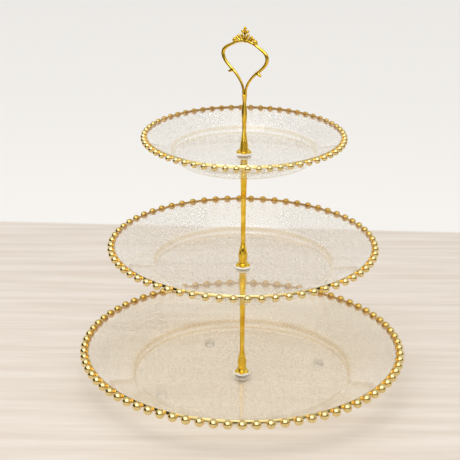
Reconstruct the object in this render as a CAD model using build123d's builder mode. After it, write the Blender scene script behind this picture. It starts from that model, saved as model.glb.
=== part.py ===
"""Three-tier cake stand: glass plates with gold bead rims on a screwed metal column.

Millimetres, +Z up. The origin is on the column's axis at table level, and the handle's loop
lies in the XZ plane. From the table up: feet, bottom plate, lower post, middle plate, middle
post, top plate, handle. Each post and the handle screw down on a stud and clamp a plate
between two soft washers.
"""

import os
from dataclasses import dataclass
from math import cos, radians, sin

from build123d import *

os.makedirs("parts", exist_ok=True)

# Plates
PLATE_HOLE_D = 6.0
WELL_ROUND = 5.0  # fillet between floor and wall, on the upper side
WALL_ROUND = 6.5  # fillet between wall and rim, on the upper side
BAND_T = 1.2  # gold band round the edge of the glass
BAND_GAP = 1.4  # from the beads' inner side to the rim's upper edge

# Feet
FOOT_H = 5.5
FOOT_D = 11.0
FOOT_ROUND = 1.8
FOOT_CIRCLE_R = 88.0
FOOT_COUNT = 4
FIRST_FOOT_DEG = 54.6

# Washers
SOFT_WASHER_T = 1.0
UPPER_WASHER_D = 17.0
LOWER_WASHER_D = 14.0
SOFT_WASHER_HOLE_D = 4.6
STEEL_WASHER_D = 12.0
STEEL_WASHER_T = 0.8
STEEL_WASHER_HOLE_D = 4.3

# M4 fasteners, modelled at their outer diameter
THREAD_D = 4.0
THREAD_BORE_D = 4.1
THREAD_GRIP = 7.0  # length engaged in the flange of the piece above
THREAD_BORE_DEPTH = 7.6
STUD_ROOT = 7.5  # length fixed in the top of a post
STUD_CHAMFER = 0.4
SCREW_HEAD_D = 8.0
SCREW_HEAD_H = 2.2
SCREW_HEAD_ROUND = 1.0
RECESS_L = 4.4
RECESS_W = 0.9
RECESS_DEPTH = 1.1

# Flower flange at the foot of each post and of the handle
PETALS = 5
FIRST_PETAL_DEG = -59.0
PETAL_CIRCLE_R = 5.0
PETAL_R = 2.6
FLANGE_CORE_R = 5.4
FLANGE_H = 2.0

# Turned outlines: height above the flange's underside, radius
POST_L = 113.2
POST_OUTLINE = (
    (FLANGE_H, 4.4),
    (3.8, 3.6),
    (11.8, 4.6),
    (19.5, 3.1),
    (28.0, 2.3),
    (60.0, 2.65),
    (91.0, 3.25),
    (103.5, 3.7),
    (POST_L, 3.1),
)
STEM_L = 57.7
STEM_OUTLINE = (
    (FLANGE_H, 4.4),
    (9.7, 3.5),
    (16.9, 2.6),
    (23.9, 1.95),
    (31.2, 2.35),
    (38.3, 2.9),
    (45.3, 2.35),
    (50.5, 1.9),
    (STEM_L, 2.5),
)

# Handle loop, in the XZ plane: distances from the axis and heights above the stem's top
WIRE_D = 2.8
WIRE_SPLIT = 1.1  # from the axis to a wire's centre where the two leave the stem
HIP = (9.8, 19.7)
SHOULDER_START = (21.5, 30.4)
SHOULDER = (24.6, 37.4)
SHOULDER_END = (20.2, 44.4)
CROWN_END = (9.7, 49.9)
ARCH_TOP = 52.2

# Crown ornament: distances from the axis and heights above the stem's top
CROWN_STEM = ((0.0, 52.2), (0.0, 64.2), 1.0, 0.8)  # root, tip, root radius, tip radius
CROWN_TOP_BALL = (0.0, 64.2, 1.7)  # x, height, radius
SIDE_BALLS = ((2.7, 61.4, 1.35), (7.0, 51.7, 1.7), (11.4, 52.2, 2.1))
SIDE_TAPERS = (
    ((0.0, 59.0), (2.7, 61.4), 0.9, 0.8),
    ((1.4, 52.4), (3.7, 57.9), 0.8, 1.25),
    ((4.0, 52.0), (7.0, 56.4), 0.8, 1.25),
    ((13.6, 23.0), (17.0, 20.8), 1.3, 0.8),
)


@dataclass
class Tier:
    """One plate and its rim. Heights are above the plate's floor, which is flat out to well_r."""

    name: str
    bead_circle_r: float
    bead_d: float
    bead_count: int
    first_bead_deg: float
    glass_t: float
    well_r: float
    wall_r: float
    wall_h: float
    bead_h: float
    underside_z: float = 0.0

    @property
    def floor_z(self):
        return self.underside_z + self.glass_t

    @property
    def flange_z(self):
        """Height of the flange that stands on this plate's upper washer."""
        return self.floor_z + SOFT_WASHER_T

    @property
    def bead_z(self):
        return self.floor_z + self.bead_h

    @property
    def edge(self):
        """Radius and height of the rim's upper edge."""
        edge_r = self.bead_circle_r - self.bead_d / 2 - BAND_GAP
        return edge_r, self.bead_z + 0.45 * self.glass_t


BOTTOM = Tier("bottom", 160.5, 9.2, 76, -58.7, 4.0, 107.0, 112.8, 11.7, 29.3)
MIDDLE = Tier("middle", 130.75, 7.6, 64, -57.0, 3.5, 86.0, 90.5, 9.2, 23.4)
TOP = Tier("top", 96.6, 6.3, 60, -56.9, 3.5, 67.0, 71.5, 8.2, 17.2)
TIERS = (BOTTOM, MIDDLE, TOP)

level = FOOT_H
for tier in TIERS:
    tier.underside_z = level
    level = tier.flange_z + POST_L + SOFT_WASHER_T

STEM_TOP_Z = TOP.flange_z + STEM_L


def save(shape, name):
    """Name a finished piece and write it."""
    shape.label = name
    export_step(shape, f"parts/{name}.step")


def glass_plate(tier):
    """A dish turned from one section: flat floor, short steep wall and a wide conical rim."""
    with BuildPart() as plate:
        with BuildSketch(Plane.XZ):
            with BuildLine():
                FilletPolyline(
                    (PLATE_HOLE_D / 2, tier.floor_z),
                    (tier.well_r, tier.floor_z),
                    (tier.wall_r, tier.floor_z + tier.wall_h),
                    tier.edge,
                    radius=(WELL_ROUND, WALL_ROUND),
                )
                offset(amount=tier.glass_t, side=Side.RIGHT)
            make_face()
        revolve(axis=Axis.Z)
    return plate.part


def bead_rim(tier):
    """The band on the glass edge, which stands square to the conical rim, and its ring of beads."""
    edge_r, edge_z = tier.edge
    rise = edge_z - tier.floor_z - tier.wall_h
    run = edge_r - tier.wall_r
    along = Vector(run, rise).normalized()
    across = Vector(along.Y, -along.X)
    upper = Vector(edge_r, edge_z)
    lower = upper + across * tier.glass_t
    with BuildPart() as rim:
        with BuildSketch(Plane.XZ):
            with BuildLine():
                Polyline(upper, upper + along * BAND_T, lower + along * BAND_T, lower, close=True)
            make_face()
        revolve(axis=Axis.Z)
        with Locations((0, 0, tier.bead_z)):
            with PolarLocations(tier.bead_circle_r, tier.bead_count, tier.first_bead_deg):
                Sphere(tier.bead_d / 2)
    return rim.part


def washer(base_z, outer_d, hole_d, thickness):
    """A flat ring standing on base_z."""
    with BuildPart() as ring:
        with BuildSketch(Plane.XY.offset(base_z)):
            Circle(outer_d / 2)
            Circle(hole_d / 2, mode=Mode.SUBTRACT)
        extrude(amount=thickness)
    return ring.part


def turned_with_flange(base_z, outline):
    """A turned rod on a flower flange, bored from below for the stud that it screws on to."""
    with BuildPart() as rod:
        with BuildSketch(Plane.XY.offset(base_z)):
            Circle(FLANGE_CORE_R)
            with PolarLocations(PETAL_CIRCLE_R, PETALS, FIRST_PETAL_DEG):
                Circle(PETAL_R)
        extrude(amount=FLANGE_H)
        with BuildSketch(Plane.XZ):
            with BuildLine():
                side = [(radius, base_z + height) for height, radius in outline]
                Spline(side)
                Polyline(side[-1], (0, side[-1][1]), (0, side[0][1]), side[0])
            make_face()
        revolve(axis=Axis.Z)
        with BuildSketch(Plane.XY.offset(base_z)):
            Circle(THREAD_BORE_D / 2)
        extrude(amount=THREAD_BORE_DEPTH, mode=Mode.SUBTRACT)
    return rod.part


def post(base_z):
    """A post: the turned rod, bored from above for the stud fixed in its top."""
    rod = turned_with_flange(base_z, POST_OUTLINE)
    with BuildPart() as bored:
        add(rod)
        with BuildSketch(Plane.XY.offset(base_z + POST_L)):
            Circle(THREAD_BORE_D / 2)
        extrude(amount=-STUD_ROOT, mode=Mode.SUBTRACT)
    return bored.part


def stud(tier):
    """The stud that stands in the post under a plate and holds the piece that clamps it."""
    base_z = tier.underside_z - SOFT_WASHER_T - STUD_ROOT
    with BuildPart() as rod:
        with BuildSketch(Plane.XY.offset(base_z)):
            Circle(THREAD_D / 2)
        extrude(amount=tier.flange_z + THREAD_GRIP - base_z)
        chamfer(rod.edges(), STUD_CHAMFER)
    return rod.part


# Plates and rims
for tier in TIERS:
    save(glass_plate(tier), f"{tier.name}_plate")
    save(bead_rim(tier), f"{tier.name}_bead_rim")

# Soft washers above and below each plate
for tier in TIERS:
    upper_washer = washer(tier.floor_z, UPPER_WASHER_D, SOFT_WASHER_HOLE_D, SOFT_WASHER_T)
    save(upper_washer, f"{tier.name}_upper_washer")
    lower_z = tier.underside_z - SOFT_WASHER_T
    lower_washer = washer(lower_z, LOWER_WASHER_D, SOFT_WASHER_HOLE_D, SOFT_WASHER_T)
    save(lower_washer, f"{tier.name}_lower_washer")

# Feet
for number in range(FOOT_COUNT):
    bearing = radians(FIRST_FOOT_DEG + number * 360 / FOOT_COUNT)
    table = Plane((FOOT_CIRCLE_R * cos(bearing), FOOT_CIRCLE_R * sin(bearing), 0))
    with BuildPart() as foot:
        with BuildSketch(table):
            Circle(FOOT_D / 2)
        extrude(amount=FOOT_H)
        fillet(foot.edges().group_by(Axis.Z)[0], FOOT_ROUND)
    save(foot.part, f"foot_{number + 1}")

# Base screw and its steel washer
steel_washer_z = BOTTOM.underside_z - SOFT_WASHER_T - STEEL_WASHER_T
save(
    washer(steel_washer_z, STEEL_WASHER_D, STEEL_WASHER_HOLE_D, STEEL_WASHER_T),
    "base_washer",
)
head_z = steel_washer_z - SCREW_HEAD_H
with BuildPart() as base_screw:
    with BuildSketch(Plane.XY.offset(head_z)):
        Circle(SCREW_HEAD_D / 2)
    extrude(amount=SCREW_HEAD_H)
    fillet(base_screw.edges().group_by(Axis.Z)[0], SCREW_HEAD_ROUND)
    with BuildSketch(Plane.XY.offset(steel_washer_z)):
        Circle(THREAD_D / 2)
    extrude(amount=BOTTOM.flange_z + THREAD_GRIP - steel_washer_z)
    chamfer(base_screw.edges().group_by(Axis.Z)[-1], STUD_CHAMFER)
    with BuildSketch(Plane.XY.offset(head_z)):
        Rectangle(RECESS_L, RECESS_W)
        Rectangle(RECESS_W, RECESS_L)
    extrude(amount=RECESS_DEPTH, mode=Mode.SUBTRACT)
save(base_screw.part, "base_screw")

# Posts, studs and handle stem
save(post(BOTTOM.flange_z), "lower_post")
save(post(MIDDLE.flange_z), "middle_post")
save(stud(MIDDLE), "lower_stud")
save(stud(TOP), "middle_stud")
save(turned_with_flange(TOP.flange_z, STEM_OUTLINE), "handle_stem")


def on_loop(point):
    """A point of the loop, given from the stem's top, as (x, z) in the XZ plane."""
    return point[0], STEM_TOP_Z + point[1]


def ball(x, height, ball_r):
    """Add a ball in the loop's plane."""
    with Locations((x, 0, STEM_TOP_Z + height)):
        Sphere(ball_r)


def taper(root, tip, root_r, tip_r):
    """Add a round-tipped taper from one point of the loop's plane to another."""
    start, end = (Vector(x, 0, z) for x, z in map(on_loop, (root, tip)))
    lean = Plane(origin=start, z_dir=end - start)
    with Locations(lean.location):
        Cone(root_r, tip_r, (end - start).length, align=(Align.CENTER, Align.CENTER, Align.MIN))
    with Locations(end):
        Sphere(tip_r)


# Crowned wire loop: one half and its mirror image, then the middle of the crown
with BuildPart() as crown_loop:
    with BuildLine(Plane.XZ) as wire_path:
        wire = Line(on_loop((WIRE_SPLIT, 0)), on_loop((WIRE_SPLIT, 1)))
        for point in (HIP, SHOULDER_START, SHOULDER, SHOULDER_END, CROWN_END, (0, ARCH_TOP)):
            wire = TangentArc(wire @ 1, on_loop(point), tangent=wire % 1)
    with BuildSketch(Plane.XY.offset(STEM_TOP_Z)):
        with Locations((WIRE_SPLIT, 0)):
            Circle(WIRE_D / 2)
    sweep(path=wire_path.wires()[0])
    for side_ball in SIDE_BALLS:
        ball(*side_ball)
    for side_taper in SIDE_TAPERS:
        taper(*side_taper)
    mirror(about=Plane.YZ)
    taper(*CROWN_STEM)
    ball(*CROWN_TOP_BALL)
save(crown_loop.part, "crown_loop")
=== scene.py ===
"""Looks of a three-tier cake stand: glitter-glass plates, gold bead rims, cast posts and a crowned handle.

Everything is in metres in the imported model's frame: the column stands on the origin along +Z, and the
handle's loop lies in the XZ plane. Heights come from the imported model; the sizes below are its driving sizes.
"""

from dataclasses import dataclass
from functools import cached_property
from math import atan2, cos, hypot, pi, radians, sin, sqrt, tan

import bmesh
import bpy
from mathutils import Euler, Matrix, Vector


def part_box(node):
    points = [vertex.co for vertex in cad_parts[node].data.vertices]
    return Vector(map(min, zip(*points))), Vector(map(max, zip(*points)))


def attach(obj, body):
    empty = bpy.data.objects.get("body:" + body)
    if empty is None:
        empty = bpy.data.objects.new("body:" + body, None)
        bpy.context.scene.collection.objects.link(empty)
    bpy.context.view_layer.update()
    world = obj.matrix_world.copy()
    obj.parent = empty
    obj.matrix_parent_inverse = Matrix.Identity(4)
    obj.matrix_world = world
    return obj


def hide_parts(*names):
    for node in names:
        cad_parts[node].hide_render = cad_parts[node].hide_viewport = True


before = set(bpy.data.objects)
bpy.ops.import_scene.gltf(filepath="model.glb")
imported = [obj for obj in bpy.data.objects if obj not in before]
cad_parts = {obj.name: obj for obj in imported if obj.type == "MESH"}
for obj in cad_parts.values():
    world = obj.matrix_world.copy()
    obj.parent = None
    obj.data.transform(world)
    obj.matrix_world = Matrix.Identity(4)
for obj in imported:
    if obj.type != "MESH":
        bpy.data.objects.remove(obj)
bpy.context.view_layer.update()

MM = 0.001
PLATE_STEPS = 288  # round a plate
ROD_STEPS = 120  # round a post or a washer
FOOT_STEPS = 64
THREAD_STEPS = 48

# Camera, from the stand's front right and above
VIEW_BEARING = radians(31.0)
VIEW_DISTANCE = 1.2695
VIEW_HEIGHT = 0.6705
VIEW_TILT = radians(21.633)
VIEW_TURN = radians(0.59)
VIEW_ROLL = radians(0.342)
VIEW_LENS = 108.13

# The table's grain runs from left to right: directions scaled by how often it varies
GRAIN_ALONG = Vector((cos(VIEW_BEARING), sin(VIEW_BEARING), 0))
GRAIN_ACROSS = Vector((-sin(VIEW_BEARING), cos(VIEW_BEARING), 0)) * 16

# The table ends in a straight edge behind the stand, a little nearer on the right
TABLE_TURN = VIEW_BEARING + radians(87.8)
TABLE_DEPTH = Vector((cos(TABLE_TURN), sin(TABLE_TURN), 0))
TABLE_EDGE = 0.431
TABLE_EDGE_SOFT = 0.005

# Plates
HOLE_R = 3.0 * MM
HOLE_ROUND = 0.5 * MM
WELL_ROUND = 5.0 * MM
WALL_ROUND = 6.5 * MM
EDGE_ROUND = 0.15 * MM
BAND_GAP = 1.4 * MM
GLASS_REACH = 0.24  # how far the clear edge runs on between the beads, as a share of their diameter
LONGEST_RUN = 9 * MM  # between a plate's rings
BAND_T = 1.0 * MM
BAND_H = 0.86  # as a share of the glass thickness
BAND_LAP = 0.06 * MM  # the band overlaps the glass
BAND_ROUND = 0.4 * MM

# Glass
GLASS_STRAIGHT = 0.84  # share of light that the thin glass passes without bending it
PAINTED_SHADE_HALF_W = 1.4 * MM  # painted shade: a darker, warmer line round each dish, half way up its wall, for the shade its curved wall makes in the light passing through
PAINTED_SHADE_TINT = (0.87, 0.77, 0.58, 1.0)
FLECK_R = 0.42  # as a share of a fleck's cell

# Flower flange and rods
PETALS = 5
FIRST_PETAL = radians(-59.0)
PETAL_CIRCLE_R = 5.0 * MM
PETAL_R = 2.6 * MM
FLANGE_CORE_R = 5.4 * MM
FLANGE_H = 2.0 * MM
FLANGE_ROUND = 0.6 * MM
SEAM = 0.25 * MM  # chamfer at a bore, and the step where a rod stands on its flange
ROD_TOP_ROUND = 0.5 * MM
BORE_R = 2.05 * MM
BORE_DEPTH = 7.6 * MM
STUD_BORE_DEPTH = 7.5 * MM
FACETS = 6

# Washers and feet
WASHER_ROUND = 0.3 * MM
STEEL_ROUND = 0.15 * MM
SOFT_HOLE_R = 2.3 * MM
STEEL_HOLE_R = 2.15 * MM
FOOT_ROUND = 1.8 * MM
FOOT_TOP_ROUND = 0.3 * MM

# M4 threads and the base screw
PITCH = 0.7 * MM
CREST_R = 1.98 * MM
ROOT_R = 1.62 * MM
THREAD_END = 0.45 * MM
HEAD_R = 4.0 * MM
HEAD_H = 2.2 * MM
HEAD_ROUND = 1.0 * MM
RECESS_L = 4.4 * MM
RECESS_W = 0.9 * MM
RECESS_DEPTH = 1.1 * MM


@dataclass
class Tier:
    """One plate and its rim. wall_h is above the plate's floor, which is flat out to well_r."""

    name: str
    body: str
    bead_circle_r: float
    bead_d: float
    bead_count: int
    first_bead: float
    glass_t: float
    well_r: float
    wall_r: float
    wall_h: float

    @cached_property
    def floor_z(self):
        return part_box(f"{self.name}_plate")[0].z + self.glass_t

    @cached_property
    def bead_z(self):
        low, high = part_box(f"{self.name}_bead_rim")
        return (low.z + high.z) / 2

    @cached_property
    def edge(self):
        """The rim's upper edge as (radius, height)."""
        return Vector((self.bead_circle_r - self.bead_d / 2 - BAND_GAP, self.bead_z + 0.45 * self.glass_t))

    @cached_property
    def along(self):
        """The direction of the conical rim, up and outwards, as (radius, height)."""
        return (self.edge - Vector((self.wall_r, self.floor_z + self.wall_h))).normalized()

    @cached_property
    def glass_end(self):
        """The upper edge of the glass, between the beads."""
        return self.edge + self.along * GLASS_REACH * self.bead_d

    @cached_property
    def across(self):
        """The direction through the conical rim, down and outwards."""
        return Vector((self.along.y, -self.along.x))


TIERS = (
    Tier("bottom", "base", 160.5 * MM, 9.2 * MM, 76, radians(-58.7), 4.0 * MM, 107.0 * MM, 112.8 * MM, 11.7 * MM),
    Tier("middle", "middle_tier", 130.75 * MM, 7.6 * MM, 64, radians(-57.0), 3.5 * MM, 86.0 * MM, 90.5 * MM, 9.2 * MM),
    Tier("top", "top_tier", 96.6 * MM, 6.3 * MM, 60, radians(-56.9), 3.5 * MM, 67.0 * MM, 71.5 * MM, 8.2 * MM),
)


# ---------------------------------------------------------------- node helpers


def new_material(name):
    """An empty node material and its output."""
    material = bpy.data.materials.new(name)
    material.use_nodes = True
    material.node_tree.nodes.clear()
    return material, material.node_tree.nodes.new("ShaderNodeOutputMaterial")


def add(tree, kind, values=None, **settings):
    """A node with its settings, and its input sockets set to values or linked to sockets."""
    node = tree.nodes.new(kind)
    for key, value in settings.items():
        setattr(node, key, value)
    for key, value in (values or {}).items():
        if isinstance(value, bpy.types.NodeSocket):
            tree.links.new(value, node.inputs[key])
        else:
            node.inputs[key].default_value = value
    return node


def math(tree, operation, *terms):
    """The result of a Math node."""
    return add(tree, "ShaderNodeMath", dict(enumerate(terms)), operation=operation).outputs[0]


def dot(tree, first, second):
    """The dot product of two vectors."""
    return add(tree, "ShaderNodeVectorMath", {0: first, 1: second}, operation="DOT_PRODUCT").outputs["Value"]


def level(tree, vector):
    """A vector without its Z."""
    return add(tree, "ShaderNodeVectorMath", {0: vector, 1: (1, 1, 0)}, operation="MULTIPLY").outputs[0]


def mix_shader(tree, factor, first, second):
    """Two shaders mixed by factor."""
    values = {0: factor, 1: first.outputs[0], 2: second.outputs[0]}
    return add(tree, "ShaderNodeMixShader", values)


def lamplight(tree):
    """1 for the rays that carry lamps' light on to other surfaces."""
    path = add(tree, "ShaderNodeLightPath")
    return math(tree, "MAXIMUM", path.outputs["Is Shadow Ray"], path.outputs["Is Diffuse Ray"])


def ramp(tree, value, start, end, low=0.0, high=1.0):
    """value mapped smoothly from start..end to low..high."""
    values = {"Value": value, "From Min": start, "From Max": end, "To Min": low, "To Max": high}
    return add(tree, "ShaderNodeMapRange", values, interpolation_type="SMOOTHSTEP").outputs["Result"]


def noise(tree, scale, detail=3.0, roughness=0.5):
    """Noise in the piece's own space, with scale in metres."""
    place = add(tree, "ShaderNodeTexCoord").outputs["Object"]
    values = {"Vector": place, "Scale": 1 / scale, "Detail": detail, "Roughness": roughness}
    return add(tree, "ShaderNodeTexNoise", values).outputs["Fac"]


def mix_colour(tree, factor, first, second):
    """Two colours mixed by factor."""
    node = add(tree, "ShaderNodeMix", data_type="RGBA")
    for index, value in ((0, factor), (6, first), (7, second)):
        if isinstance(value, bpy.types.NodeSocket):
            tree.links.new(value, node.inputs[index])
        else:
            node.inputs[index].default_value = value
    return node.outputs[2]


def rgb(red, green, blue):
    return red, green, blue, 1.0


# ---------------------------------------------------------------- materials


def flecks(tree, size, share, seed):
    """A mask of small scattered flecks, with one in about share of the cells."""
    place = add(tree, "ShaderNodeTexCoord").outputs["Object"]
    moved = add(tree, "ShaderNodeVectorMath", {0: place, 1: (seed, seed * 0.7, seed * 0.3)}, operation="ADD")
    cells = add(tree, "ShaderNodeTexVoronoi", {"Vector": moved.outputs[0], "Scale": 1 / size})
    picked = add(tree, "ShaderNodeSeparateColor", {0: cells.outputs["Color"]}).outputs[0]
    chosen = math(tree, "LESS_THAN", picked, share)
    near = math(tree, "LESS_THAN", cells.outputs["Distance"], FLECK_R)
    return math(tree, "MULTIPLY", chosen, near)


def glitter_glass(name, tint, grain, painted_shade_r):
    """Clear glass with fine gold glitter and a painted shade line round the dish's wall, which lets lamps through.

    grain is the strength of the glitter and of the painted shade line, and painted_shade_r the radius of that painted
    line.
    """
    material, output = new_material(name)
    tree = material.node_tree
    glass = add(tree, "ShaderNodeBsdfPrincipled", {
        "Base Color": rgb(*tint), "Roughness": 0.015, "IOR": 1.38, "Transmission Weight": 1.0})
    wave = noise(tree, 16 * MM, 2.0)
    bump = add(tree, "ShaderNodeBump", {"Height": wave, "Strength": 0.05, "Distance": 0.0004})
    tree.links.new(bump.outputs[0], glass.inputs["Normal"])
    flat = level(tree, add(tree, "ShaderNodeTexCoord").outputs["Object"])
    radius = add(tree, "ShaderNodeVectorMath", {0: flat}, operation="LENGTH").outputs["Value"]
    # Painted shade: the glass's straight-through tint turns darker and warmer in a band half way up the dish's wall,
    # for the shade the curved wall makes in the light passing through it
    off_painted_shade = math(tree, "ABSOLUTE", math(tree, "SUBTRACT", radius, painted_shade_r))
    ring = ramp(tree, off_painted_shade, PAINTED_SHADE_HALF_W, 0.3 * PAINTED_SHADE_HALF_W, 0.0, 0.9 * grain)
    tint_and_painted_shade = mix_colour(tree, ring, rgb(*(sqrt(c) for c in tint)), PAINTED_SHADE_TINT)
    direct = add(tree, "ShaderNodeBsdfTransparent", {0: tint_and_painted_shade})
    shine = add(tree, "ShaderNodeBsdfGlossy", {"Color": rgb(1.0, 1.0, 1.0), "Roughness": 0.03})
    entering = math(tree, "SUBTRACT", 1.0, add(tree, "ShaderNodeNewGeometry").outputs["Backfacing"])
    fresnel = add(tree, "ShaderNodeFresnel", {"IOR": 1.42}).outputs[0]
    mirrored = math(tree, "MULTIPLY", fresnel, entering)
    sheet = mix_shader(tree, GLASS_STRAIGHT, glass, mix_shader(tree, mirrored, direct, shine))
    pale = add(tree, "ShaderNodeBsdfPrincipled", {
        "Base Color": rgb(0.76, 0.68, 0.56), "Roughness": 0.7, "Specular IOR Level": 0.0})
    gold = add(tree, "ShaderNodeBsdfPrincipled", {
        "Base Color": rgb(0.62, 0.48, 0.28), "Metallic": 0.25, "Roughness": 0.5})
    dust = math(tree, "MULTIPLY", flecks(tree, 1.15 * MM, 0.28, 0.011), 0.40 * grain)
    flakes = math(tree, "MULTIPLY", flecks(tree, 1.4 * MM, 0.08, 0.037), 0.52 * grain)
    body = mix_shader(tree, flakes, mix_shader(tree, dust, sheet, pale), gold)
    clear = add(tree, "ShaderNodeBsdfTransparent", {0: rgb(0.995, 0.985, 0.965)})
    whole = mix_shader(tree, lamplight(tree), body, clear)
    tree.links.new(whole.outputs[0], output.inputs["Surface"])
    return material


def bead_gold():
    """Gold paint over moulded glass: bright outside, and a duller orange where it is seen from the dish."""
    material, output = new_material("bead_gold")
    tree = material.node_tree
    place = add(tree, "ShaderNodeTexCoord")
    outward = level(tree, place.outputs["Object"])
    unit = add(tree, "ShaderNodeVectorMath", {0: outward}, operation="NORMALIZE").outputs[0]
    inner = ramp(tree, dot(tree, unit, place.outputs["Normal"]), 0.05, -0.45)
    wear = noise(tree, 2.4 * MM, 4.0, 0.6)
    worn = ramp(tree, wear, 0.35, 0.7)
    bright = mix_colour(tree, worn, rgb(0.77, 0.60, 0.24), rgb(0.88, 0.72, 0.37))
    dull = mix_colour(tree, worn, rgb(0.52, 0.28, 0.03), rgb(0.74, 0.45, 0.09))
    colour = mix_colour(tree, inner, bright, dull)
    rough = math(tree, "ADD", ramp(tree, wear, 0.3, 0.8, 0.05, 0.10), math(tree, "MULTIPLY", inner, 0.05))
    bump = add(tree, "ShaderNodeBump", {
        "Height": noise(tree, 1.1 * MM, 3.0), "Strength": 0.12, "Distance": 0.0001})
    gold = add(tree, "ShaderNodeBsdfPrincipled", {
        "Base Color": colour, "Metallic": 1.0, "Roughness": rough, "Normal": bump.outputs[0]})
    tree.links.new(gold.outputs[0], output.inputs["Surface"])
    return material


def band_gold():
    """The band between the beads: bright gold on both sides."""
    material, output = new_material("band_gold")
    tree = material.node_tree
    wear = noise(tree, 1.6 * MM, 4.0, 0.6)
    colour = mix_colour(tree, ramp(tree, wear, 0.3, 0.7), rgb(0.84, 0.60, 0.20), rgb(0.95, 0.74, 0.32))
    bump = add(tree, "ShaderNodeBump", {"Height": wear, "Strength": 0.15, "Distance": 0.0001})
    gold = add(tree, "ShaderNodeBsdfPrincipled", {
        "Base Color": colour, "Metallic": 0.9, "Roughness": ramp(tree, wear, 0.3, 0.7, 0.26, 0.38),
        "Normal": bump.outputs[0]})
    tree.links.new(gold.outputs[0], output.inputs["Surface"])
    return material


def polished_gold():
    """Bright gold plate over cast metal, with faint casting waves and handling marks."""
    material, output = new_material("polished_gold")
    tree = material.node_tree
    cloud = noise(tree, 5.0 * MM, 3.0)
    fine = noise(tree, 0.6 * MM, 4.0, 0.6)
    colour = mix_colour(tree, ramp(tree, cloud, 0.35, 0.7), rgb(0.78, 0.50, 0.03), rgb(0.92, 0.66, 0.10))
    rough = math(tree, "ADD", ramp(tree, cloud, 0.3, 0.7, 0.05, 0.10), ramp(tree, fine, 0.5, 0.8, 0.0, 0.05))
    height = math(tree, "ADD", cloud, math(tree, "MULTIPLY", fine, 0.15))
    bump = add(tree, "ShaderNodeBump", {"Height": height, "Strength": 0.15, "Distance": 0.0003})
    gold = add(tree, "ShaderNodeBsdfPrincipled", {
        "Base Color": colour, "Metallic": 1.0, "Roughness": rough, "Normal": bump.outputs[0]})
    tree.links.new(gold.outputs[0], output.inputs["Surface"])
    return material


def zinc_steel():
    """Zinc-plated steel."""
    material, output = new_material("zinc_steel")
    tree = material.node_tree
    grain = noise(tree, 0.5 * MM, 4.0, 0.6)
    colour = mix_colour(tree, grain, rgb(0.56, 0.57, 0.58), rgb(0.78, 0.78, 0.77))
    bump = add(tree, "ShaderNodeBump", {"Height": grain, "Strength": 0.15, "Distance": 0.00005})
    steel = add(tree, "ShaderNodeBsdfPrincipled", {
        "Base Color": colour, "Metallic": 1.0, "Roughness": ramp(tree, grain, 0.3, 0.7, 0.2, 0.34),
        "Normal": bump.outputs[0]})
    tree.links.new(steel.outputs[0], output.inputs["Surface"])
    return material


def soft_plastic():
    """White translucent washers."""
    material, output = new_material("soft_plastic")
    tree = material.node_tree
    cloud = noise(tree, 2.5 * MM, 3.0)
    colour = mix_colour(tree, cloud, rgb(0.90, 0.89, 0.86), rgb(0.96, 0.955, 0.93))
    bump = add(tree, "ShaderNodeBump", {"Height": noise(tree, 0.4 * MM, 3.0), "Strength": 0.1, "Distance": 0.00005})
    plastic = add(tree, "ShaderNodeBsdfPrincipled", {
        "Base Color": colour, "Roughness": ramp(tree, cloud, 0.3, 0.7, 0.28, 0.40), "IOR": 1.45,
        "Transmission Weight": 0.12, "Normal": bump.outputs[0]})
    tree.links.new(plastic.outputs[0], output.inputs["Surface"])
    return material


def clear_rubber():
    """Clear bumper feet with a faint haze."""
    material, output = new_material("clear_rubber")
    tree = material.node_tree
    cloud = noise(tree, 3.0 * MM, 3.0)
    colour = mix_colour(tree, cloud, rgb(0.93, 0.92, 0.88), rgb(0.97, 0.97, 0.94))
    rubber = add(tree, "ShaderNodeBsdfPrincipled", {
        "Base Color": colour, "Roughness": ramp(tree, cloud, 0.3, 0.7, 0.12, 0.22), "IOR": 1.45,
        "Transmission Weight": 0.92})
    straight = add(tree, "ShaderNodeBsdfTransparent", {0: rgb(0.985, 0.98, 0.965)})
    clear = add(tree, "ShaderNodeBsdfTransparent", {0: rgb(0.98, 0.975, 0.96)})
    whole = mix_shader(tree, lamplight(tree), mix_shader(tree, 0.95, rubber, straight), clear)
    tree.links.new(whole.outputs[0], output.inputs["Surface"])
    return material


def studio_floor():
    """A pale warm table with an off-white ground behind it, clear from below."""
    material, output = new_material("studio_floor")
    tree = material.node_tree
    place = add(tree, "ShaderNodeTexCoord").outputs["Object"]
    lanes = {0: dot(tree, place, GRAIN_ALONG), 1: dot(tree, place, GRAIN_ACROSS)}
    stretched = add(tree, "ShaderNodeCombineXYZ", lanes)
    grain = add(tree, "ShaderNodeTexNoise", {
        "Vector": stretched.outputs[0], "Scale": 4.0, "Detail": 6.0, "Roughness": 0.62}).outputs["Fac"]
    table = mix_colour(tree, ramp(tree, grain, 0.3, 0.7), rgb(0.67, 0.595, 0.52), rgb(0.76, 0.70, 0.64))
    past = ramp(tree, dot(tree, place, TABLE_DEPTH), TABLE_EDGE - TABLE_EDGE_SOFT, TABLE_EDGE + TABLE_EDGE_SOFT)
    colour = mix_colour(tree, past, table, rgb(0.855, 0.845, 0.83))
    floor = add(tree, "ShaderNodeBsdfPrincipled", {
        "Base Color": colour, "Roughness": 0.62, "Specular IOR Level": 0.2})
    beneath = add(tree, "ShaderNodeNewGeometry").outputs["Backfacing"]
    clear = add(tree, "ShaderNodeBsdfTransparent")
    whole = mix_shader(tree, beneath, floor, clear)
    tree.links.new(whole.outputs[0], output.inputs["Surface"])
    return material


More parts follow.
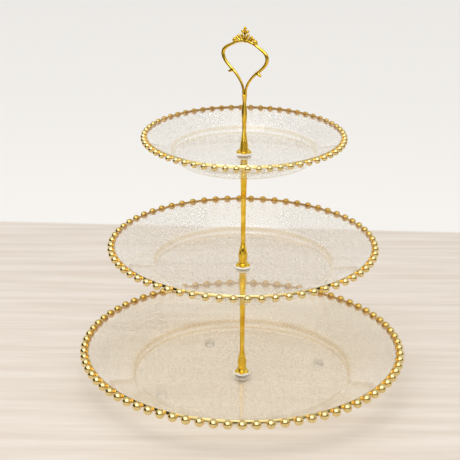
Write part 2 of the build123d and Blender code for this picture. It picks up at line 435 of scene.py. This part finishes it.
def dark_card():
    """Matt black cloth."""
    material, output = new_material("dark_card")
    tree = material.node_tree
    colour = mix_colour(tree, noise(tree, 0.05), rgb(0.012, 0.010, 0.008), rgb(0.022, 0.018, 0.014))
    cloth = add(tree, "ShaderNodeBsdfPrincipled", {"Base Color": colour, "Roughness": 0.9})
    tree.links.new(cloth.outputs[0], output.inputs["Surface"])
    return material


# The bottom glass's tint is deeper and warmer than the other two: the glass's own warm tint, with painted shade added
# for the shade of the tiers above and the light passing twice through it near the table. The last number is the radius
# of each plate's painted shade line.
GLASS = {
    "bottom": glitter_glass("glitter_glass_bottom", (1.0, 0.975, 0.895), 1.0, 110.0 * MM),
    "middle": glitter_glass("glitter_glass_middle", (1.0, 0.995, 0.965), 0.85, 88.5 * MM),
    "top": glitter_glass("glitter_glass_top", (1.0, 0.995, 0.97), 0.80, 69.5 * MM),
}
BEAD_GOLD = bead_gold()
BAND_GOLD = band_gold()
GOLD = polished_gold()
STEEL = zinc_steel()
SOFT_PLASTIC = soft_plastic()
CLEAR_RUBBER = clear_rubber()


# ---------------------------------------------------------------- mesh helpers


def mesh_from(bm, name, sharp=35.0):
    """A mesh shaded smooth except at edges sharper than sharp degrees."""
    bmesh.ops.remove_doubles(bm, verts=bm.verts, dist=1e-7)
    bmesh.ops.recalc_face_normals(bm, faces=bm.faces)
    for face in bm.faces:
        face.smooth = True
    for edge in bm.edges:
        if len(edge.link_faces) == 2 and edge.calc_face_angle(0.0) > radians(sharp):
            edge.smooth = False
    mesh = bpy.data.meshes.new(name)
    bm.to_mesh(mesh)
    bm.free()
    return mesh


def finish_piece(mesh, name, body, slot, material, *nodes):
    """Make mesh a piece that rides on body and stands for the named nodes of the model."""
    piece = bpy.data.objects.new(name, mesh)
    bpy.context.scene.collection.objects.link(piece)
    piece.data.materials.clear()
    piece.data.materials.append(material)
    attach(piece, body)
    if nodes:
        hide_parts(*nodes)
    return piece


def lathe(bm, section, steps, closed=True):
    """Turn a section of (radius, height) points about the Z axis.

    A radius may be a function of the bearing. A point on the axis becomes one vertex.
    """
    rings = []
    for radius, height in section:
        if not callable(radius) and radius < 1e-9:
            rings.append([bm.verts.new((0, 0, height))])
            continue
        ring = []
        for step in range(steps):
            bearing = 2 * pi * step / steps
            reach = radius(bearing) if callable(radius) else radius
            ring.append(bm.verts.new((reach * cos(bearing), reach * sin(bearing), height)))
        rings.append(ring)
    pairs = list(zip(rings, rings[1:]))
    if closed:
        pairs.append((rings[-1], rings[0]))
    for first, second in pairs:
        if len(first) == len(second) == 1:
            continue
        for step in range(steps):
            after = (step + 1) % steps
            if len(first) == 1:
                bm.faces.new((first[0], second[step], second[after]))
            elif len(second) == 1:
                bm.faces.new((first[step], second[0], first[after]))
            else:
                bm.faces.new((first[step], second[step], second[after], first[after]))


def fillet(before, corner, after, radius, steps):
    """Points of an arc that rounds a corner between two straight runs."""
    if radius <= 0:
        return [corner]
    back = (before - corner).normalized()
    on = (after - corner).normalized()
    half = back.angle(on) / 2
    centre = corner + (back + on).normalized() * radius / sin(half)
    start = corner + back * radius / tan(half) - centre
    end = corner + on * radius / tan(half) - centre
    first = atan2(start.y, start.x)
    turn = (atan2(end.y, end.x) - first + pi) % (2 * pi) - pi
    angles = (first + turn * i / steps for i in range(steps + 1))
    return [centre + Vector((radius * cos(a), radius * sin(a))) for a in angles]


def rounded_section(corners, steps=6):
    """A closed section from (radius, height, rounding) corners."""
    points = [Vector((r, z)) for r, z, _ in corners]
    section = []
    for i, (_, _, rounding) in enumerate(corners):
        after = points[(i + 1) % len(points)]
        section += [tuple(p) for p in fillet(points[i - 1], points[i], after, rounding, steps)]
    return section


def split_long_runs(section, longest):
    """Add points to a closed section, so that no run is longer than longest."""
    out = []
    for i, point in enumerate(section):
        after = section[(i + 1) % len(section)]
        pieces = max(1, int(hypot(after[0] - point[0], after[1] - point[1]) / longest))
        for k in range(pieces):
            out.append((point[0] + (after[0] - point[0]) * k / pieces, point[1] + (after[1] - point[1]) * k / pieces))
    return out


def smooth_curve(keys, steps):
    """A Catmull-Rom curve through keys, which are tuples of numbers, with steps points to each span."""
    points = [Vector(k) for k in keys]
    points = [points[0] * 2 - points[1], *points, points[-1] * 2 - points[-2]]
    curve = []
    for a, b, c, d in zip(points, points[1:], points[2:], points[3:]):
        for i in range(steps):
            t = i / steps
            curve.append((b * 2 + (c - a) * t + (a * 2 - b * 5 + c * 4 - d) * t**2
                          + (b * 3 - a - c * 3 + d) * t**3) / 2)
    curve.append(points[-2])
    return curve


# ---------------------------------------------------------------- plates and rims


def glass_plate(tier):
    """A dish: flat floor with a rounded hole, a short steep wall and a wide conical rim."""
    t = tier.glass_t
    upper = [Vector((HOLE_R, tier.floor_z)), Vector((tier.well_r, tier.floor_z)),
             Vector((tier.wall_r, tier.floor_z + tier.wall_h)), tier.glass_end]
    wall = (upper[2] - upper[1]).normalized()
    directions = [Vector((1, 0)), wall, tier.along]
    normals = [Vector((d.y, -d.x)) for d in directions]
    lower = [upper[0] + normals[0] * t]
    for i in (1, 2):
        bisector = (normals[i - 1] + normals[i]).normalized()
        lower.append(upper[i] + bisector * t / bisector.dot(normals[i]))
    lower.append(tier.glass_end + normals[2] * t)
    corners = [
        (*upper[0], HOLE_ROUND), (*upper[1], WELL_ROUND), (*upper[2], WALL_ROUND), (*upper[3], EDGE_ROUND),
        (*lower[3], EDGE_ROUND), (*lower[2], WALL_ROUND - t), (*lower[1], WELL_ROUND + t), (*lower[0], HOLE_ROUND),
    ]
    bm = bmesh.new()
    lathe(bm, split_long_runs(rounded_section(corners, 10), LONGEST_RUN), PLATE_STEPS)
    name = f"{tier.name}_glass"
    finish_piece(mesh_from(bm, name), name, tier.body, "glitter_glass", GLASS[tier.name], f"{tier.name}_plate")


def bead_rim(tier):
    """The gold band on the edge of the glass and its ring of beads."""
    bm = bmesh.new()
    upper = tier.glass_end - tier.along * BAND_LAP - tier.across * BAND_LAP / 2
    lower = upper + tier.across * tier.glass_t * BAND_H
    out = tier.along * BAND_T
    corners = [(*upper, 0), (*(upper + out), BAND_ROUND), (*(lower + out), BAND_ROUND), (*lower, 0)]
    lathe(bm, rounded_section(corners, 4), PLATE_STEPS)
    for face in bm.faces:
        face.material_index = 1
    for number in range(tier.bead_count):
        bearing = tier.first_bead + 2 * pi * number / tier.bead_count
        bead = bmesh.ops.create_icosphere(bm, subdivisions=3, radius=tier.bead_d / 2)["verts"]
        place = Vector((cos(bearing), sin(bearing), 0)) * tier.bead_circle_r + Vector((0, 0, tier.bead_z))
        bmesh.ops.translate(bm, verts=bead, vec=place)
    name = f"{tier.name}_rim_beads"
    rim = finish_piece(mesh_from(bm, name), name, tier.body, "gold_beads", BEAD_GOLD, f"{tier.name}_bead_rim")
    rim.data.materials.append(BAND_GOLD)


# ---------------------------------------------------------------- posts and handle stem


def flange_radius(bearing):
    """The flower outline of a flange."""
    step = 2 * pi / PETALS
    off = (bearing - FIRST_PETAL + step / 2) % step - step / 2
    side = PETAL_CIRCLE_R * sin(off)
    if abs(side) >= PETAL_R:
        return FLANGE_CORE_R
    return max(FLANGE_CORE_R, PETAL_CIRCLE_R * cos(off) + sqrt(PETAL_R**2 - side**2))


def flange_ring(inset):
    """A ring round the flange, inset from its outline."""
    return lambda bearing: flange_radius(bearing) - inset


def hump(value, start, peak, end):
    """0 outside start..end and 1 at peak, smooth between."""
    if not start < value < end:
        return 0.0
    share = (value - start) / (peak - start) if value < peak else (end - value) / (end - peak)
    return share * share * (3 - 2 * share)


def rod_ring(radius, height, leaves, facets):
    """A ring round a rod: cast leaves stand on its bulge, and soft facets run up its shaft."""
    leaf = hump(height, *leaves[:3]) * leaves[3]
    facet = hump(height, *facets[:3]) * facets[3]

    def at(bearing):
        lobe = abs(cos((bearing - FIRST_PETAL) * PETALS / 2)) ** 0.7
        turn = pi / FACETS
        flat = cos(turn) / cos((bearing - FIRST_PETAL) % (2 * turn) - turn)
        return radius * (1 - leaf * (1 - lobe)) * (1 - facet * (1 - flat) / (1 - cos(turn)))
    return at


def rod(name, outline, leaves, facets, body, node, top_bore):
    """A cast rod on its flower flange, bored from below, and from above where a stud is fixed in it."""
    keys = [(h * MM, r * MM) for h, r in outline]
    curve = smooth_curve(keys, 12)
    length = keys[-1][0]
    top_r = keys[-1][1]
    section = [(0.0, BORE_DEPTH), (BORE_R, BORE_DEPTH), (BORE_R, SEAM), (BORE_R + SEAM, 0.0)]
    turns = [radians(angle) for angle in (0, 22.5, 45, 67.5, 90)]
    section += [(flange_ring(FLANGE_ROUND * (1 - sin(a))), FLANGE_ROUND * (1 - cos(a))) for a in turns]
    section += [(flange_ring(FLANGE_ROUND * (1 - cos(a))), FLANGE_H - FLANGE_ROUND * (1 - sin(a))) for a in turns]
    section.append((flange_ring(2 * FLANGE_ROUND), FLANGE_H - 0.05 * MM))
    section.append((keys[0][1] + SEAM, FLANGE_H))
    section += [(rod_ring(r, h, leaves, facets), h) for h, r in curve if h < length - ROD_TOP_ROUND]
    for angle in (0, 30, 60, 90):
        turn = radians(angle)
        section.append((top_r - ROD_TOP_ROUND * (1 - cos(turn)), length - ROD_TOP_ROUND * (1 - sin(turn))))
    if top_bore:
        section += [(BORE_R, length), (BORE_R, length - STUD_BORE_DEPTH), (0.0, length - STUD_BORE_DEPTH)]
    else:
        section.append((0.0, length))
    base_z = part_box(node)[0].z
    section = [(r, base_z + h) for r, h in section]
    bm = bmesh.new()
    lathe(bm, section, ROD_STEPS, closed=False)
    finish_piece(mesh_from(bm, name, 40), name, body, "gold_plate", GOLD, node)


POST_OUTLINE = (
    (2.0, 4.4), (3.8, 3.6), (7.5, 4.2), (11.8, 4.6), (15.5, 4.05), (19.5, 3.1), (23.5, 2.5), (28.0, 2.3),
    (60.0, 2.65), (91.0, 3.25), (103.5, 3.7), (109.0, 3.5), (113.2, 3.1),
)
STEM_OUTLINE = (
    (2.0, 4.4), (5.5, 4.0), (9.7, 3.5), (16.9, 2.6), (23.9, 1.95), (31.2, 2.35), (38.3, 2.9), (45.3, 2.35),
    (50.5, 1.9), (57.7, 2.5),
)
# Start, peak, end and depth of each rod's leaves and facets, heights above its flange's underside
POST_LEAVES = (2.5 * MM, 10.0 * MM, 21.0 * MM, 0.11)
POST_FACETS = (18.0 * MM, 60.0 * MM, 112.0 * MM, 0.055)
STEM_LEAVES = (2.5 * MM, 6.0 * MM, 16.0 * MM, 0.10)
STEM_FACETS = (14.0 * MM, 38.0 * MM, 57.0 * MM, 0.075)


# ---------------------------------------------------------------- crowned loop

# Distances from the axis, heights above the stem's top and wire radii of one half of the loop, in mm
LOOP = (
    (1.1, 0.4, 1.25), (1.5, 5.5, 1.25), (3.4, 11.0, 1.25), (6.3, 15.4, 1.3), (9.9, 19.8, 1.35), (14.3, 23.7, 1.4),
    (18.7, 27.6, 1.5), (22.4, 32.0, 1.65), (24.2, 37.0, 1.75), (23.3, 41.2, 1.75), (20.3, 44.3, 1.6),
    (16.4, 46.6, 1.45), (12.2, 48.9, 1.3), (8.0, 50.8, 1.3), (3.8, 51.9, 1.3), (0.0, 52.2, 1.3),
)
BUD = ((13.0, 23.2, 1.4), (15.4, 21.8, 1.5), (17.2, 20.9, 1.15))
# The crown, in the same terms: petals and scrolls as tapering stalks, and balls
STALKS = (
    ((1.2, 52.2, 1.0), (2.2, 55.0, 1.1), (3.4, 57.6, 1.45)),
    ((3.0, 52.2, 1.0), (5.0, 54.4, 1.1), (6.8, 56.4, 1.35)),
    ((5.2, 51.7, 1.0), (7.2, 53.4, 1.0), (8.8, 54.8, 1.2)),
    ((8.4, 50.6, 1.2), (10.6, 50.4, 1.4), (12.4, 51.6, 1.5)),
    ((0.0, 58.8, 0.9), (1.4, 60.0, 0.95), (2.7, 61.2, 1.2)),
)
CENTRE_STALK = ((0.0, 51.6, 1.2), (0.0, 58.0, 0.95), (0.0, 63.6, 1.0))
BALLS = ((2.8, 61.4, 1.55), (6.6, 51.2, 1.5), (11.2, 52.6, 2.05), (3.6, 58.0, 1.4), (7.1, 56.8, 1.3), (9.2, 55.0, 1.2))
TOP_BALL = (0.0, 64.2, 1.65)
WIRE_VOXEL = 0.19 * MM


def stalk(bm, keys, sides=24):
    """A round stalk through (x, height, radius) keys in the loop's plane, with round ends."""
    curve = smooth_curve(keys, 6)
    rings = []
    for i, point in enumerate(curve):
        before, after = curve[max(i - 1, 0)], curve[min(i + 1, len(curve) - 1)]
        heading = Vector((after.x - before.x, 0, after.y - before.y)).normalized()
        side = Vector((heading.z, 0, -heading.x))
        centre = Vector((point.x, 0, point.y))
        turns = (2 * pi * k / sides for k in range(sides))
        rings.append([bm.verts.new(centre + point.z * (side * cos(a) + Vector((0, 1, 0)) * sin(a))) for a in turns])
    for first, second in zip(rings, rings[1:]):
        for k in range(sides):
            bm.faces.new((first[k], second[k], second[(k + 1) % sides], first[(k + 1) % sides]))
    bm.faces.new(rings[0])
    bm.faces.new(rings[-1][::-1])
    for point in (curve[0], curve[-1]):
        ball(bm, (point.x, point.y, point.z))


def ball(bm, place):
    """A ball at (x, height, radius) in the loop's plane."""
    verts = bmesh.ops.create_icosphere(bm, subdivisions=3, radius=place[2])["verts"]
    bmesh.ops.translate(bm, verts=verts, vec=(place[0], 0, place[1]))


def crown_loop():
    """The wire loop with its buds and crown, cast in one: overlapping stalks and balls are fused and smoothed."""
    stem_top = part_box("handle_stem")[1].z
    bm = bmesh.new()
    for side in (1, -1):
        for keys in (LOOP, BUD, *STALKS):
            stalk(bm, [(side * x, h, r) for x, h, r in keys])
        for x, h, r in BALLS:
            ball(bm, (side * x, h, r))
    stalk(bm, CENTRE_STALK)
    ball(bm, TOP_BALL)
    bmesh.ops.recalc_face_normals(bm, faces=bm.faces)
    bmesh.ops.scale(bm, vec=(MM, MM, MM), verts=bm.verts)
    bmesh.ops.translate(bm, vec=(0, 0, stem_top), verts=bm.verts)
    rough = bpy.data.meshes.new("crown_rough")
    bm.to_mesh(rough)
    bm.free()
    cast = bpy.data.objects.new("crown_rough", rough)
    bpy.context.scene.collection.objects.link(cast)
    fuse = cast.modifiers.new("fuse", "REMESH")
    fuse.mode = "VOXEL"
    fuse.voxel_size = WIRE_VOXEL
    fuse.use_smooth_shade = True
    soften = cast.modifiers.new("soften", "SMOOTH")
    soften.factor = 0.5
    soften.iterations = 6
    mesh = bpy.data.meshes.new_from_object(cast.evaluated_get(bpy.context.evaluated_depsgraph_get()))
    bpy.data.objects.remove(cast)
    mesh.name = "crowned_loop"
    mesh.shade_smooth()
    finish_piece(mesh, "crowned_loop", "handle", "gold_plate", GOLD, "crown_loop")


# ---------------------------------------------------------------- washers, feet and fasteners


def ring_piece(node, body, slot, material, rounding):
    """A washer with rounded edges, as large as its node."""
    low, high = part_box(node)
    hole = STEEL_HOLE_R if slot == "steel" else SOFT_HOLE_R
    sides = ((hole, low.z), (high.x, low.z), (high.x, high.z), (hole, high.z))
    corners = [(r, z, rounding) for r, z in sides]
    bm = bmesh.new()
    lathe(bm, rounded_section(corners, 4), ROD_STEPS)
    name = f"{node}_ring"
    finish_piece(mesh_from(bm, name), name, body, slot, material, node)


def foot(number):
    """A clear bumper: flat on the table, rounded below and stuck to the plate."""
    node = f"foot_{number}"
    low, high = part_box(node)
    centre = (low + high) / 2
    r = (high.x - low.x) / 2
    h = high.z - low.z
    corners = [(0.0, 0.0, 0), (r, 0.0, FOOT_ROUND), (r, h, FOOT_TOP_ROUND), (0.0, h, 0)]
    bm = bmesh.new()
    lathe(bm, rounded_section(corners, 8), FOOT_STEPS, closed=False)
    bmesh.ops.translate(bm, vec=(centre.x, centre.y, low.z), verts=bm.verts)
    name = f"bumper_{number}"
    finish_piece(mesh_from(bm, name), name, "base", "clear_rubber", CLEAR_RUBBER, node)


def thread_rings(start, end):
    """Rings of a right-hand M4 thread from start to end, tapering off at the end."""
    count = int((end - start) / PITCH * 10)
    rings = []
    for i in range(count + 1):
        z = start + (end - start) * i / count
        limit = ROOT_R - 0.1 * MM + max(0.0, end - z) / THREAD_END * (CREST_R - ROOT_R)

        def radius(bearing, z=z, limit=limit):
            phase = (z / PITCH - bearing / (2 * pi)) % 1
            crest = 1 - abs(2 * phase - 1)
            crest = min(1.0, max(0.0, 1.25 * crest - 0.1))
            return min(ROOT_R + (CREST_R - ROOT_R) * crest, max(limit, ROOT_R - 0.1 * MM))
        rings.append((radius, z))
    return rings


def stud(node, body):
    """A threaded stud, tapered at both ends."""
    low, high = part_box(node)
    middle = (low.z + high.z) / 2
    upper = thread_rings(middle, high.z)
    lower = [(r, 2 * middle - z) for r, z in thread_rings(middle, high.z)][:0:-1]
    bm = bmesh.new()
    lathe(bm, [(0.0, low.z), *lower, *upper, (0.0, high.z)], THREAD_STEPS, closed=False)
    name = f"{node}_thread"
    finish_piece(mesh_from(bm, name, 60), name, body, "steel", STEEL, node)


def base_screw():
    """The pan-head screw under the bottom plate, with a cross recess."""
    low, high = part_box("base_screw")
    seat = low.z + HEAD_H
    head = rounded_section([(0.0, low.z, 0), (HEAD_R, low.z, HEAD_ROUND), (HEAD_R, seat, 0.2 * MM)], 8)
    bm = bmesh.new()
    section = [*head, (CREST_R, seat), *thread_rings(seat + 0.05 * MM, high.z), (0.0, high.z)]
    lathe(bm, section, THREAD_STEPS, closed=False)
    screw = bpy.data.objects.new("screw", mesh_from(bm, "screw", 60))
    bpy.context.scene.collection.objects.link(screw)
    arm, half = RECESS_L / 2, RECESS_W / 2
    outline = [(arm, -half), (arm, half), (half, half), (half, arm), (-half, arm), (-half, half),
               (-arm, half), (-arm, -half), (-half, -half), (-half, -arm), (half, -arm), (half, -half)]
    bm = bmesh.new()
    rims = []
    for z, grow in ((low.z - 0.5 * MM, 1.08), (low.z + RECESS_DEPTH, 0.86)):
        rims.append([bm.verts.new((x * grow, y * grow, z)) for x, y in outline])
    for i in range(len(outline)):
        j = (i + 1) % len(outline)
        bm.faces.new((rims[0][i], rims[0][j], rims[1][j], rims[1][i]))
    bm.faces.new(rims[0][::-1])
    bm.faces.new(rims[1])
    cutter = bpy.data.objects.new("cutter", mesh_from(bm, "cutter"))
    bpy.context.scene.collection.objects.link(cutter)
    cut = screw.modifiers.new("recess", "BOOLEAN")
    cut.operation = "DIFFERENCE"
    cut.object = cutter
    mesh = bpy.data.meshes.new_from_object(screw.evaluated_get(bpy.context.evaluated_depsgraph_get()))
    bpy.data.objects.remove(screw)
    bpy.data.objects.remove(cutter)
    finish_piece(mesh, "base_screw_thread", "base", "steel", STEEL, "base_screw")


# ---------------------------------------------------------------- build

for tier in TIERS:
    glass_plate(tier)
    bead_rim(tier)

for node, body in (("bottom_lower_washer", "base"), ("bottom_upper_washer", "lower_seat"),
                   ("middle_lower_washer", "middle_tier"), ("middle_upper_washer", "middle_seat"),
                   ("top_lower_washer", "top_tier"), ("top_upper_washer", "handle_seat")):
    ring_piece(node, body, "soft_washer", SOFT_PLASTIC, WASHER_ROUND)
ring_piece("base_washer", "base", "steel", STEEL, STEEL_ROUND)

rod("lower_rod", POST_OUTLINE, POST_LEAVES, POST_FACETS, "middle_tier", "lower_post", True)
rod("middle_rod", POST_OUTLINE, POST_LEAVES, POST_FACETS, "top_tier", "middle_post", True)
rod("handle_rod", STEM_OUTLINE, STEM_LEAVES, STEM_FACETS, "handle", "handle_stem", False)
crown_loop()

for number in range(1, 5):
    foot(number)
stud("lower_stud", "middle_tier")
stud("middle_stud", "top_tier")
base_screw()


# ---------------------------------------------------------------- studio


def around(bearing, elevation, distance, height=0.15):
    """A point at a bearing from the camera's own, an elevation in degrees and a distance from the stand."""
    turn = VIEW_BEARING + radians(bearing)
    flat = distance * cos(radians(elevation))
    return flat * sin(turn), -flat * cos(turn), height + distance * sin(radians(elevation))


def key_light():
    """A large soft lamp high in front of the stand."""
    lamp = bpy.data.lights.new("key", "AREA")
    lamp.shape = "RECTANGLE"
    lamp.size, lamp.size_y = 0.9, 0.7
    lamp.energy = 7.0
    lamp.color = (1.0, 0.985, 0.96)
    holder = bpy.data.objects.new("key", lamp)
    holder.location = around(-14, 58, 1.5)
    holder.rotation_euler = (Vector((0, 0, 0.15)) - holder.location).to_track_quat("-Z", "Y").to_euler()
    bpy.context.scene.collection.objects.link(holder)


def sky():
    """A soft white studio: brightest high in front, dim low in front, and with one dark opening there."""
    world = bpy.data.worlds.new("studio")
    bpy.context.scene.world = world
    world.use_nodes = True
    tree = world.node_tree
    tree.nodes.clear()
    ray = add(tree, "ShaderNodeTexCoord").outputs["Generated"]
    up = add(tree, "ShaderNodeSeparateXYZ", {0: ray}).outputs["Z"]
    opening = dot(tree, ray, Vector(around(0, 11, 1, 0)).normalized())
    front = dot(tree, ray, Vector(around(0, 0, 1, 0)).normalized())
    window = dot(tree, ray, Vector(around(-10, 62, 1, 0)).normalized())
    base = ramp(tree, up, 0.0, 0.6, 0.84, 0.62)
    shade = math(tree, "MULTIPLY", ramp(tree, front, -0.15, 0.55), ramp(tree, up, 0.50, 0.12))
    room = math(tree, "MULTIPLY", base, math(tree, "SUBTRACT", 1.0, math(tree, "MULTIPLY", shade, 0.90)))
    glow = ramp(tree, window, cos(radians(58)), cos(radians(30)), 0.0, 0.80)
    dark = ramp(tree, opening, cos(radians(17)), cos(radians(9)), 1.0, 0.25)
    strength = math(tree, "MULTIPLY", math(tree, "ADD", room, glow), dark)
    background = add(tree, "ShaderNodeBackground", {"Color": rgb(1.0, 0.985, 0.965), "Strength": strength})
    output = add(tree, "ShaderNodeOutputWorld")
    tree.links.new(background.outputs[0], output.inputs["Surface"])


def ground():
    """A large level table top under the stand."""
    bm = bmesh.new()
    lathe(bm, [(0.0, 0.0), *((0.05 * 1.6**i, 0.0) for i in range(12))], 96, closed=False)
    floor = bpy.data.objects.new("studio_floor", mesh_from(bm, "studio_floor"))
    bpy.context.scene.collection.objects.link(floor)
    floor.data.materials.append(studio_floor())


def camera():
    """The view of the stand from its front right and above."""
    lens = bpy.data.cameras.new("view")
    lens.lens = VIEW_LENS
    lens.sensor_width = 36.0
    holder = bpy.data.objects.new("view", lens)
    holder.location = (VIEW_DISTANCE * sin(VIEW_BEARING), -VIEW_DISTANCE * cos(VIEW_BEARING), VIEW_HEIGHT)
    turn = (Euler((0, 0, VIEW_BEARING + VIEW_TURN)).to_matrix() @ Euler((pi / 2 - VIEW_TILT, 0, 0)).to_matrix()
            @ Euler((0, 0, VIEW_ROLL)).to_matrix())
    holder.rotation_euler = turn.to_euler()
    bpy.context.scene.collection.objects.link(holder)
    bpy.context.scene.camera = holder


def flag(name, bearing, distance, width, low, high):
    """A dark card that only polished surfaces reflect."""
    foot = Vector(around(bearing, 0, distance, 0))
    side = Vector((-foot.y, foot.x, 0)).normalized() * width / 2
    bm = bmesh.new()
    corners = (foot - side, foot + side, foot + side, foot - side)
    bm.faces.new([bm.verts.new((c.x, c.y, z)) for c, z in zip(corners, (low, low, high, high))])
    card = bpy.data.objects.new(name, mesh_from(bm, name))
    bpy.context.scene.collection.objects.link(card)
    card.data.materials.append(dark_card())
    card.visible_camera = card.visible_diffuse = card.visible_transmission = card.visible_shadow = False


camera()
ground()
sky()
flag("flag_left", -78, 0.62, 0.80, 0.0, 0.42)
flag("flag_right", 66, 0.70, 0.24, 0.0, 0.42)
flag("flag_front", 4, 0.85, 0.30, 0.02, 0.24)
key_light()
bpy.context.scene.view_settings.view_transform = "Standard"
